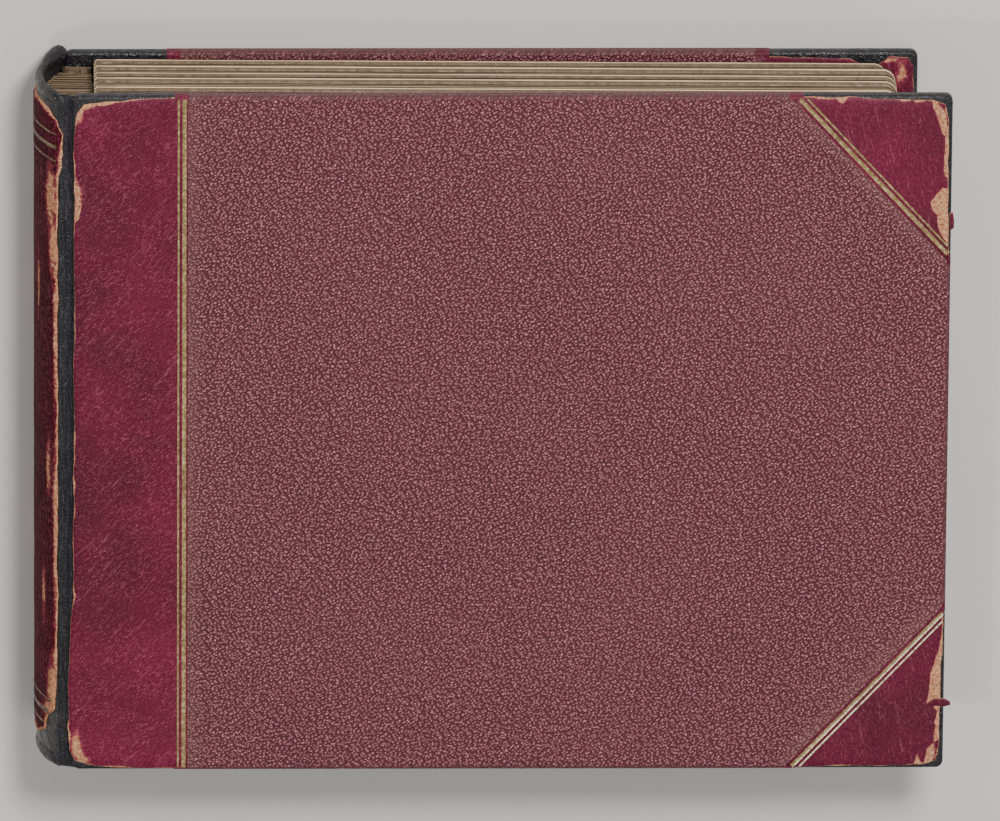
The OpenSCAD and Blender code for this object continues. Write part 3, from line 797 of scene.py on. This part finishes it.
# bare places on the corners, as (inset from the fore edge, distance from the head or tail edge)
BARE_PATCHES = {
    ("front", 1): [
        [(6.0, 1.6), (4.7, 1.6), (3.1, 3.7), (2.1, 5.2), (1.8, 8), (1.3, 11), (1.0, 16), (1.0, 20),
         (1.2, 24.4), (1.8, 24.4), (2.3, 22.6), (2.0, 15), (2.0, 12.2), (3.0, 11.3), (3.4, 9.5), (4.7, 5.5),
         (5.6, 3.7)],
        [(2.6, 27.6), (1.0, 28.1), (1.0, 31.4), (0.4, 36), (0.4, 40.6), (1.0, 44.9), (1.6, 43.7), (3.1, 41.5),
         (3.9, 38.8), (4.0, 36), (5.4, 34.2), (6.0, 32.1), (5.1, 30.8), (3.4, 28.7)],
        [(14.8, 0.8), (14.6, 1.7), (12.6, 1.5), (12.4, 0.8)],
        [(11.0, 0.9), (10.8, 1.8), (8.2, 1.7), (8.0, 0.9)],
        [(33, 0.4), (32.4, 1.7), (31.2, 2.2), (30.4, 1.4), (29.5, 0.5)]],
    ("front", -1): [
        [(0.4, 46), (0.3, 30.5), (0.3, 21.8), (1.3, 21.9), (3.0, 21.7), (5.0, 20.2), (4.4, 22.6), (4.1, 26),
         (3.9, 29.3), (2.9, 32.4), (2.4, 34.8), (1.7, 36.6), (1.3, 39.1), (0.9, 41.8), (0.7, 44.3)],
        [(3.1, 19.5), (0.3, 19.5), (0.4, 15.3), (0.9, 12.2), (1.3, 9.8), (2.4, 8.2), (2.7, 10.7), (2.1, 13.4),
         (2.7, 14.4), (2.0, 16.2), (1.9, 18)],
        [(3.0, 7.9), (2.3, 6.1), (2.8, 3.0), (3.9, 0.9), (5.6, 1.2), (5.0, 3.7), (4.7, 6.1)],
        [(1.2, 7.4), (0.6, 6.4), (0.9, 3.2), (1.8, 2.2), (1.4, 4.4)],
        [(7.4, 4.6), (6.7, 2.8), (5.7, 1.5), (6.1, 0.7), (8.7, 0.7), (8.0, 2.4)]],
    ("back", 1): [[(4.0, 1.4), (2.0, 2.6), (1.2, 7), (1.2, 14), (2.2, 12), (2.8, 7), (4.4, 4)]],
    ("back", -1): [[(5.2, 1.0), (2.2, 2.4), (1.0, 8), (1.6, 12), (3.0, 7), (4.6, 4.4)],
                   [(0.8, 22), (0.8, 33), (2.0, 31), (3.0, 26)]],
}
# torn bits that stand out past the fore edge: the same measures, and the height they curl to
SHREDS = {
    ("front", 1): [([(0.5, 35.4), (-0.5, 35.2), (-0.9, 38), (-0.8, 40), (0.3, 40.8)], -0.6)],
    ("front", -1): [([(5.0, 20.0), (2.6, 21.8), (-0.2, 21.9), (-1.7, 21), (-1.9, 19.9), (-0.2, 19.4),
                      (2.0, 19.5), (3.4, 19.3)], 0.5)],
}


def make_corner(name, cover, side, seed):
    """Old red corner piece: the outer face, torn along both edges, and its turn-in."""
    x1, h, t = cover["x1"], HALF_H, TURN_IN
    leg_x, leg_y = CORNER_LEG_X, CORNER_LEG_Y
    top, fore = diagonal(cover, side)
    build = Build()

    def placed(corners):
        """Corners from insets: the distances from the fore edge, and from the head or tail edge."""
        return [(x1 - u, side * (h - v), *rest) for u, v, *rest in corners]

    corners = placed([(leg_x, 0.35, 0), (leg_x - TAB, 0.4, 0.3), (14, 1.1, 0.3), (6, 1.3, 0.35),
                      (2.2, 2.6, 0.3), (1.2, 7, 0.35), (1.0, 28, 0.35), (0.6, leg_y - TAB, 0.2),
                      (0.35, leg_y, 0)])
    outline, torn = ragged(corners, seed, 1.0, side > 0)
    bare = [placed(patch) for patch in BARE_PATCHES.get((name, side), ())]
    slab(build, outline, torn, on_face(cover, RED_DEPTH), RED_T, 2.6, seed, lumps=0.03,
         flip=cover["into"] > 0, patches=bare)
    for shred, lift in SHREDS.get((name, side), ()):
        outline, torn = ragged([(u, v, 0.1) for u, v in placed(shred)], seed + 7, 0.5)
        flap = on_face(dict(cover, x1=x1 + 4), 0.1)

        def curl(u, v, h):
            return flap(u, v, h + lift * smooth((u - x1 + 4) / 5))

        slab(build, outline, torn, curl, 0.3, 0.8, seed + 8, rim=0.3, thin=0.5, rim_wear=0.12,
             rims=(0.15, 0.35))
    # the samples run one way round the cover, so at the tail they come in the other order
    tab(build, cover, edge_name(side), *(top[0], top[0] + TAB)[::side])
    tab(build, cover, "fore", *(fore[1] + side * 2.6, fore[1])[::side])
    turned = placed([(leg_x, 1.2, 0), (leg_x - TAB, 1.3, 0.15), (19, 2.0, 0.3), (13.5, 4.9, 0.25),
                     (10.5, 3.2, 0.4), (8.0, 1.3, 0.4), (3.0, 1.6, 0.3), (1.1, 4, 0.3),
                     (0.9, leg_y - TAB, 0.2), (1.0, leg_y, 0), (t, leg_y, 0), (t, t, 0), (leg_x, t, 0)])
    outline, torn = ragged(turned, seed + 1, 1.0, side > 0)
    wear = placed([(4.6, 6.5, 1.3, 3.0), (7.5, 2.6, 2.2, 0.7), (14, 6.0, 1.4, 0.6)])
    slab(build, outline, torn, on_inside(cover, TURNED_DEPTH), TURNED_T, 2.6, seed + 2, wear=wear,
         rim_wear=0.22, flip=cover["into"] < 0)
    piece = f"{name}_{edge_name(side)}_corner"
    build.finish(piece + "_red", cover["body"], "red_leather", RED_CORNER, piece, crease=60)


THICK_LINE, THIN_LINE, LINE_MARGIN, LINE_GAP = 1.3, 0.6, 0.4, 0.7
CORNER_MARGIN = 2 * LINE_MARGIN


def groove(build, cover, a, b, width, seed, glint=None):
    """A gilt line pressed a little below the leather, from a to b on the face. Between those two places across
    it, it is marked for a painted highlight."""
    along = (b - a).normalized()
    across = Vector((-along.y, along.x))
    shape = [(-0.5, -0.10), (-0.42, 0.06), (-0.27, 0.0), (0.0, 0.0), (0.27, 0.0), (0.42, 0.06), (0.5, -0.10)]
    count = int((b - a).length / 1.5)
    place = on_face(cover, 0.055)
    rows = []
    for k in range(count + 1):
        p = a + along * (b - a).length * k / count
        wide = width * (1 + 0.05 * wobble(p.x, p.y, seed, 3))
        rows.append([place(*(p + across * wide * s), h) for s, h in shape])
    points, faces = bar(rows)
    build.add(points, faces, tone=[float(bool(glint) and glint[0] < s < glint[1])
                                   for s, _ in shape] * (count + 1))


def make_gilt(name, cover):
    """A thick and a thin line beside the strip, and the same across both corners."""
    strip = Build()
    h = HALF_H - 0.9
    thick = cover["line"] - LINE_MARGIN - THICK_LINE / 2
    thin = thick - THICK_LINE / 2 - LINE_GAP - THIN_LINE / 2
    groove(strip, cover, Vector((thick, -h)), Vector((thick, h)), THICK_LINE, 1)
    groove(strip, cover, Vector((thin, -h)), Vector((thin, h)), THIN_LINE, 2)
    strip.finish(name + "_strip_fillets", cover["body"], "gilt", GILT, name + "_strip_gilt", crease=35,
                 gap=0.001)
    lines = Build()
    for side in (-1, 1):
        top, fore = (Vector(p) for p in diagonal(cover, side))
        along = (fore - top).normalized()
        inward = Vector((-along.y, along.x)) * side
        # the lines on the lower corner of the front cover are given a painted highlight
        painted_glint = side < 0 and name == "front"
        for start, width, seed, glint in ((CORNER_MARGIN, THICK_LINE, 3, (-0.45, -0.2)),
                                          (CORNER_MARGIN + THICK_LINE + LINE_GAP, THIN_LINE, 4, (-0.3, 0.3))):
            middle = start + width / 2
            # each line stops just inside the board edges
            p = top + inward * middle
            p -= along * (HALF_H - 0.9 - abs(p.y)) / abs(along.y)
            q = fore + inward * middle
            q += along * (cover["x1"] - 0.9 - q.x) / along.x
            groove(lines, cover, p, q, width, seed + side, glint if painted_glint else None)
    lines.finish(name + "_corner_fillets", cover["body"], "gilt", GILT, name + "_corner_gilt", crease=35,
                 gap=0.001)


for name, cover in COVERS.items():
    make_cloth(name, cover)
    make_underlays(name, cover)
    make_strip_leather(name, cover)
    for side in (-1, 1):
        make_corner(name, cover, side, 40 + 3 * side)
    make_gilt(name, cover)


# ---------------------------------------------------------------- spine
def spine_ripple(u, v):
    return 0.12 * wobble(u, v / 3, 73, 3.5) + 0.1 * wobble(u, v, 74, 9)


def make_spine_black():
    """New black leather over the whole back, turned in at head and tail over the cords, and the two caps."""
    h = HALF_H
    black_d, black_t = 0.9, 0.75
    build = Build()
    profile = [(black_d + 2.3, h - 14), (black_d + 2.2, h - 4.2), (black_d + 2.0, h - 3.4),
               (black_d + 1.2, h - 3.0), (black_d + 0.35, h - 3.4), (black_d, h - 4.0), (black_d, h - 12)]
    middle = [(black_d, y) for y in np.arange(-h + 20, h - 19, 6.0)]
    path = [(d, -y) for d, y in profile] + middle + profile[::-1]
    count = 40
    points = []
    for shell in (0.0, black_t):
        for k in range(count + 1):
            a = -SHOULDER_A + 2 * SHOULDER_A * k / count
            for i, (d, y) in enumerate(path):
                lump = 0.0 if shell else 0.10 * wobble(a * SPINE_R, y, 51, 5)
                if 4 <= i < len(path) - 4:
                    d += shell
                else:
                    d, y = d - shell * 0.8, y - math.copysign(shell * 0.6, y)
                r = SPINE_R - d + lump
                points.append((ARC_X - r * math.cos(a), y, MID_Z + r * math.sin(a)))
    build.add(points, lattice(count + 1, len(path)))
    cord_low, cord_high = box_mm("cap_cords")
    cord_r = 0.8
    # the caps: leather drawn round a cord, thick at the crown and spread into a lobe at the back shoulder
    lap_back, lap_front = SHOULDER_A + 0.03, SHOULDER_A - 0.01
    around, steps = 14, 46
    for side in (-1, 1):
        rows = []
        for k in range(steps + 1):
            t = k / steps
            a = -lap_back + (lap_back + lap_front) * t
            lobe = smooth((-a - SHOULDER_A + 0.42) / 0.42)
            front = smooth((a - SHOULDER_A + 0.25) / 0.3)
            close = max(0.12, math.sqrt(max(0.0, 1 - max(0.0, (0.04 - min(t, 1 - t)) / 0.04) ** 2)))
            wide = (1.35 + 1.45 * lobe - 0.2 * front) * close
            tall = (1.95 + 0.95 * lobe - 0.35 * front) * close
            mid_r = ARC_X - cord_low.x - cord_r - 0.25 - 0.2 * lobe
            out = max(0.0, abs(a) - SHOULDER_A) * SPINE_R
            turn = math.copysign(min(abs(a), SHOULDER_A), a)
            y0 = cord_high.y - cord_r - 0.25 + 0.95 * lobe + 0.12 * wobble(a * 20, 3, 61 + side, 4)
            row = []
            for w in (2 * math.pi * j / around for j in range(around)):
                bump = 1 + 0.06 * wobble(a * 30, w * 3, 62 + side, 3)
                r = mid_r + wide * bump * math.cos(w)
                row.append((ARC_X - r * math.cos(turn) + out * 0.9,
                            side * (y0 + tall * bump * math.sin(w)), MID_Z + r * math.sin(turn)))
            rows.append(row)
        points, faces = bar(rows)
        build.add(points, reverse(faces) if side > 0 else faces)
    build.finish("spine_black", "spine", "black_leather", BLACK, "spine_underlay", crease=60, gap=0.002)


def make_spine_red():
    """The old red spine, laid back on top: its long sides are torn, and its tail end is missing at the front
    shoulder."""
    h, reach = HALF_H, SHOULDER_A * SPINE_R
    build = Build()
    corners = [(-reach + 1.0, 5.5 - h, 0.5), (-8, 4.6 - h, 0.6), (6, 6.5 - h, 0.7), (13.0, 9.5 - h, 0.8),
               (reach - 6.0, 14 - h, 0.8), (reach - 1.8, 17.5 - h, 0.6), (reach - 0.6, 34 - h, 0.5),
               (reach - 0.3, -20, 0.5), (reach - 0.5, 20, 0.5), (reach - 0.2, h - 28, 0.6),
               (reach + 1.0, h - 22, 0.4), (reach + 1.3, h - 12, 0.4), (reach - 0.6, h - 8.0, 0.5),
               (reach - 5, h - 5.6, 0.6), (4, h - 4.4, 0.5), (-reach + 2, h - 5.0, 0.5),
               (-reach + 0.4, h - 14, 0.4), (-reach + 0.2, 0, 0.5)]
    outline, torn = ragged(corners, 71, 0.9)
    wear = [(reach - 3.0, h - 31, 2.2, 7.0), (reach - 2.0, h - 46, 1.6, 7.5), (reach - 2.4, 24 - h, 2.2, 6.5),
            (reach - 3.6, 16.5 - h, 3.6, 2.6), (reach - 0.6, 30, 0.8, 16), (reach - 0.5, -30, 0.9, 22),
            (reach - 4.2, -12, 1.0, 7), (9, h - 60, 0.8, 9), (13, -50, 0.9, 8), (-14, 30, 1.6, 12),
            (-16, -40, 1.8, 9), (2, 8 - h, 5, 1.4), (-6, h - 5.6, 5, 1.0)]
    slab(build, outline, torn, on_spine(0.88, 0.06), 0.78, 1.7, 72, rim=0.9, thin=0.3, wear=wear,
         rim_wear=0.6, rims=(0.3, 0.9), ripple=spine_ripple, flip=True)
    build.finish("spine_red", "spine", "red_leather", RED_SPINE_SHADED, "spine_leather", crease=60)


def make_spine_bands():
    """Three worn gilt bands near each end of the spine."""
    build = Build()
    reach = SHOULDER_A * SPINE_R
    first = box_mm("spine_gilt")[1].y - THIN_LINE / 2
    shape = [(-0.5, -0.16), (-0.4, 0.05), (0.0, 0.0), (0.4, 0.05), (0.5, -0.16)]
    place, steps = on_spine(0.08), 60
    for side in (-1, 1):
        for i, width in enumerate((THIN_LINE, THICK_LINE, THIN_LINE)):
            v = side * (first - 4.0 * i)
            # near the tail the old leather is torn away at the front shoulder, and the bands with it
            u_end = reach - 0.1 if side > 0 else (13.2, reach - 4.4, reach - 2.4)[i]
            rows = []
            for k in range(steps + 1):
                u = -reach + 0.8 + (u_end + reach - 0.8) * k / steps
                rows.append([place(u, v + s * width, rise + spine_ripple(u, v)) for s, rise in shape])
            build.add(*bar(rows))
    build.finish("spine_bands", "spine", "gilt", SPINE_GILT, "spine_gilt", crease=35, gap=0.001)


make_spine_black()
make_spine_red()
make_spine_bands()


def make_joint(name, cover):
    """New leather between a shoulder and a board: lengthwise creases."""
    node = name + "_joint_leather"
    low, high = box_mm(node)
    up = -cover["into"]
    # it starts under the old spine leather, follows the new leather there, dips, and meets the board's edge
    black_r = SPINE_R - 0.95
    x_a, x_join, x_b = low.x - 0.9, ARC_X - black_r * math.cos(SHOULDER_A), high.x + 0.35
    rise_a = black_r * math.sin(SHOULDER_A)
    h = HALF_H - 0.35
    across, along = 26, 110
    points = []
    for shell in (0, 1):
        for i in range(across + 1):
            u = x_a + (x_b - x_a) * i / across
            if u < x_join:
                base = math.sqrt(black_r ** 2 - (ARC_X - u) ** 2) + 0.03
            else:
                t = (u - x_join) / (x_b - x_join)
                base = rise_a + 1.35 * t ** 1.6 - 0.3 * math.sin(math.pi * t)
            edge = smooth(min((u - x_a), (x_b - u)) / 0.9)
            for k in range(along + 1):
                v = -h + 2 * h * k / along
                crease = 0.26 * wobble(u * 3.2, v / 7, 81 + up, 2.2) + 0.12 * wobble(u * 5, v / 3, 83, 2.0)
                end = 0.5 * (1 - smooth((h - abs(v)) / 1.2))
                z = MID_Z + up * (base + crease * edge - end - (0.6 if shell else 0.0) - 0.25 * (1 - edge))
                points.append((u, v, z))
    build = Build()
    # turned so that each face still starts at its first corner
    build.add(points, [(f[0], *f[:0:-1]) for f in lattice(across + 1, along + 1)])
    piece = build.finish(name + "_joint_black", None, "joint_leather", BLACK_JOINT, node, crease=0, gap=0.001)
    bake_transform(piece)


for name, cover in COVERS.items():
    make_joint(name, cover)


# ---------------------------------------------------------------- guards and leaves
LEAVES = [f"leaf_{n:02d}" for n in range(1, 13)]
PLY_OFFSET, PLY_T = 0.62, 0.85     # of a guard's two plies, from the leaf's middle


def make_guards():
    """Folded card guards, with uneven head and tail edges, curving into the spine."""
    build = Build()
    high = box_mm("guards")[1]
    painted_lit_plies = ((1, 1), (3, 0), (6, 1), (9, 0))  # (guard, ply) of those painted light, as a painted highlight
    for n, leaf in enumerate(LEAVES):
        leaf_low, leaf_high = box_mm(leaf)
        # the first and the last guard spread into the shoulders
        shoulder = 1.9 if n == 0 else -1.9 if n == len(LEAVES) - 1 else 0.0
        start = COVERS["front" if shoulder > 0 else "back"]["x0"]
        for part in (0, 1):
            # two plies to each guard
            ply_z = (leaf_low.z + leaf_high.z) / 2 + (PLY_OFFSET if part else -PLY_OFFSET)
            left = ARC_X - math.sqrt((SPINE_R - 3.1) ** 2 - (ply_z - MID_Z) ** 2) + 0.1
            right = high.x + 0.45 - 0.15 * abs(wobble(n, part, 91, 1.3)) - (0.15 if part else 0)
            half = high.y - 0.1 + 0.55 * wobble(n * 3.3, part * 2.1, 92, 1.7)
            corners = [(left, -half, 0.12), (right, 0.2 - half, 0), (right, half - 0.2, 0.12),
                       (left, half, 0)]
            # the listed plies are painted light as a painted highlight, the others a little lighter at random
            pale = 1.0 if (n, part) in painted_lit_plies else 0.25 * abs(wobble(n, part, 99, 1))

            def place(u, v, h):
                bend = shoulder * smooth((start - u) / 5.0)
                return (u, v, ply_z - PLY_T / 2 + h + bend + 0.08 * wobble(u, v, n * 2 + part, 14))

            slab(build, ragged(corners, 93 + n, 1.5)[0], None, place, PLY_T, 9.0, 95, rim=0.25, thin=0.8,
                 rims=(0.4,), rim_wear=0.5, tone=pale)
    for n in range(4):
        # the endpaper's stub and the linen behind it, bent out into the back shoulder
        base = COVER_T + 0.35 + 0.5 * n
        half = high.y + 1.2 + 0.5 * wobble(n, 2.2, 96, 1.0)
        left = ARC_X - math.sqrt((SPINE_R - 3.0) ** 2 - (base - 2.2 - MID_Z) ** 2)
        right = high.x - 1.2 * n
        corners = [(left, -half, 0.2), (right, -half, 0), (right, half, 0.2), (left, half, 0)]

        def place(u, v, h):
            bend = 2.0 * smooth((BACK_JOINT_HIGH.x + 1.4 - u) / 3.6)
            return (u, v, base + h - bend + 0.05 * wobble(u, v, n, 9))

        # each layer of the stub is painted lighter or darker by its mark: painted light
        slab(build, ragged(corners, 97 + n, 1.5)[0], None, place, 0.38, 1.2, 98 + n, rim=0.2, thin=0.8,
             rims=(0.3,), rim_wear=0.5, tone=(0.2, 1.0, 0.3, 0.7)[n])
    build.finish("leaf_guards", "spine", "guard_card", GUARD, "guards", crease=50)


make_guards()


# for each leaf, how light or dark its cut edges are painted, as dust and painted light and shade, and how far
# its head edge steps out
LEAF_EDGE_LIGHT_AND_DUST = (1, 0, 1, 2, 0, 1, 0, 3, 0, 1, 0, 3)
LEAF_STEPS = (0.3, -0.3, 0.3, 0.0, -0.4, 0.35, -0.25, 0.2, -0.35, 0.3, -0.25, 0.3)
WIDE_LEAVES = (3, 7, 11)
LAST_LEAF_SHORT = 2.6
CARD_COLOURS = (rgb(140, 116, 92), rgb(196, 172, 144), rgb(216, 194, 166))
# the leaves share one card; their trimmed edges are painted lighter or darker, as dust and as painted light and
# shade
CARD_EDGE_LIGHT_AND_DUST = [paper_material(f"leaf_card_{i}", *CARD_COLOURS, 1.8, 0.4, sides=share)
              for i, share in enumerate((0.2, 1.25, 0.42, 0.9))]


def make_leaf(n, leaf):
    """A card leaf with rounded fore corners, pared thin at its hinge and slightly wavy."""
    low, high = box_mm(leaf)
    thick = high.z - low.z
    seed = 101 + 3 * n
    # the leaves were trimmed and pasted in by hand, so their edges step in and out and lie a little askew
    jitter = LEAF_STEPS[n] + 0.15 * wobble(n * 1.9, 4.2, 7, 1.0)
    top_l, top_r = high.y + 0.9 + jitter, high.y - 0.6 + jitter
    bottom = low.y - 0.2 + 0.5 * wobble(n * 2.7, 1.3, 8, 1.0)
    right = high.x - (0.0 if n in WIDE_LEAVES else 0.9 * abs(wobble(n * 3.1, 6.0, 9, 1.0)))
    if n == len(LEAVES) - 1:
        right -= LAST_LEAF_SHORT
    r = 3.6
    left = low.x - 0.3
    outline = [(left, bottom), (right - r, bottom)]
    outline += [(right - r + r * math.sin(a), bottom + r - r * math.cos(a))
                for a in np.linspace(0.3, 1.57, 6)]
    outline += [(right - r + r * math.cos(a), top_r - r + r * math.sin(a)) for a in np.linspace(0, 1.4, 6)]
    outline += [(right - r, top_r), (left + 0.6, top_l), (left, top_l - 0.6)]

    def place(u, v, h):
        body = 0.42 + 0.58 * smooth((u - low.x) / 3.6)
        wave = 0.22 * wobble(u, v, seed, 60) + 0.10 * wobble(u, v, seed + 1, 22)
        return (u, v, low.z + thick * 0.5 + (h - thick * 0.5) * body + wave * smooth((u - low.x) / 20))

    build = Build()
    slab(build, ragged([(u, v, 0) for u, v in outline], seed)[0], None, place, thick - 0.2, 8.0, seed,
         rim=0.45, thin=0.7, rim_wear=0.5, rims=(0.25, 0.5, 2.5))
    build.finish(leaf + "_card", leaf, "leaf_card", CARD_EDGE_LIGHT_AND_DUST[LEAF_EDGE_LIGHT_AND_DUST[n]], leaf, crease=50)


for n, leaf in enumerate(LEAVES):
    make_leaf(n, leaf)

# ---------------------------------------------------------------- CAD pieces that keep their own shape
KEEP = {"board": BOARD, "infill": INFILL, "pastedown": ENDPAPER, "flyleaf": ENDPAPER, "hinge": HINGE,
        "cords": CORD, "liner": LINER, "mull": LINEN, "tapes": TAPE}
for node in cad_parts:
    piece = bpy.data.objects.get(node)
    kind = next((k for k in KEEP if k in node), None)
    if piece and kind:
        piece.data.materials.clear()
        piece.data.materials.append(KEEP[kind])
        for slot in piece.material_slots:
            slot.material = KEEP[kind]

# ---------------------------------------------------------------- floor, light and camera
FLOOR_HALF_M, FLOOR_DROP_M = 3.0, 0.0003
floor_mesh = bpy.data.meshes.new("floor")
floor_mesh.from_pydata([(x * FLOOR_HALF_M, y * FLOOR_HALF_M, -FLOOR_DROP_M)
                        for x, y in ((-1, -1), (1, -1), (1, 1), (-1, 1))], [], [(0, 1, 2, 3)])
floor = bpy.data.objects.new("floor", floor_mesh)
bpy.context.scene.collection.objects.link(floor)
pale = Shader("pale_floor", Specular_IOR_Level=0.2)
floor.data.materials.append(pale.finish(rgb(222, 218, 214), 0.9))

WORLD_COLOUR, WORLD_STRENGTH = (0.95, 0.96, 1.0, 1), 0.34
world = bpy.data.worlds.new("studio")
world.use_nodes = True
background = world.node_tree.nodes["Background"]
background.inputs["Color"].default_value = WORLD_COLOUR
background.inputs["Strength"].default_value = WORLD_STRENGTH
bpy.context.scene.world = world


def area_light(name, place, size, power, colour):
    """A square light, place and size in metres and power in watts, that shines at the origin."""
    data = bpy.data.lights.new(name, "AREA")
    data.size, data.energy, data.color = size, power, colour
    light = bpy.data.objects.new(name, data)
    light.location = place
    light.rotation_euler = (-Vector(place)).to_track_quat("-Z", "Y").to_euler()
    bpy.context.scene.collection.objects.link(light)


area_light("key", (0.35, 1.1, 1.7), 0.4, 33.5, (1.0, 0.985, 0.965))
area_light("glint", (-0.6, -0.28, 1.9), 0.14, 5, (1.0, 0.98, 0.95))
area_light("edge_glint", (-0.15, 1.75, 0.6), 0.35, 4.5, (1.0, 0.99, 0.98))
area_light("fill", (0.9, -0.5, 1.8), 1.2, 5.5, (0.97, 0.98, 1.0))

# The camera looks from high above the tail-to-head axis, tilted towards the head so that the leaves' head
# edges show. At the album its view is VIEW_WIDTH wide, centred a little right of the middle and below it
TILT, LEAN, ROLL = (math.radians(a) for a in (21.03, 1.435, 0.433))
DISTANCE_M = 6.0
VIEW_WIDTH, AIM_RIGHT, AIM_DOWN = 285.038, 3.0556, 0.3221
SENSOR_WIDTH = 36.0
CLIP_M = (0.1, 50)
back = Vector((-math.sin(LEAN) * math.cos(TILT), math.sin(TILT),
               math.cos(LEAN) * math.cos(TILT))).normalized()
right = Vector((0, 1, 0)).cross(back).normalized()
up = back.cross(right)
right, up = (right * math.cos(ROLL) + up * math.sin(ROLL)), (up * math.cos(ROLL) - right * math.sin(ROLL))
aim = (Vector((0, 0, MID_Z)) + right * AIM_RIGHT - up * AIM_DOWN) * MM
camera_data = bpy.data.cameras.new("camera")
camera_data.sensor_width = SENSOR_WIDTH
camera_data.lens = SENSOR_WIDTH * DISTANCE_M / MM / VIEW_WIDTH
camera_data.clip_start, camera_data.clip_end = CLIP_M
camera = bpy.data.objects.new("camera", camera_data)
bpy.context.scene.collection.objects.link(camera)
camera.location = aim + back * DISTANCE_M
camera.rotation_euler = Matrix([[c[i] for c in (right, up, back)] for i in range(3)]).to_euler()
bpy.context.scene.camera = camera
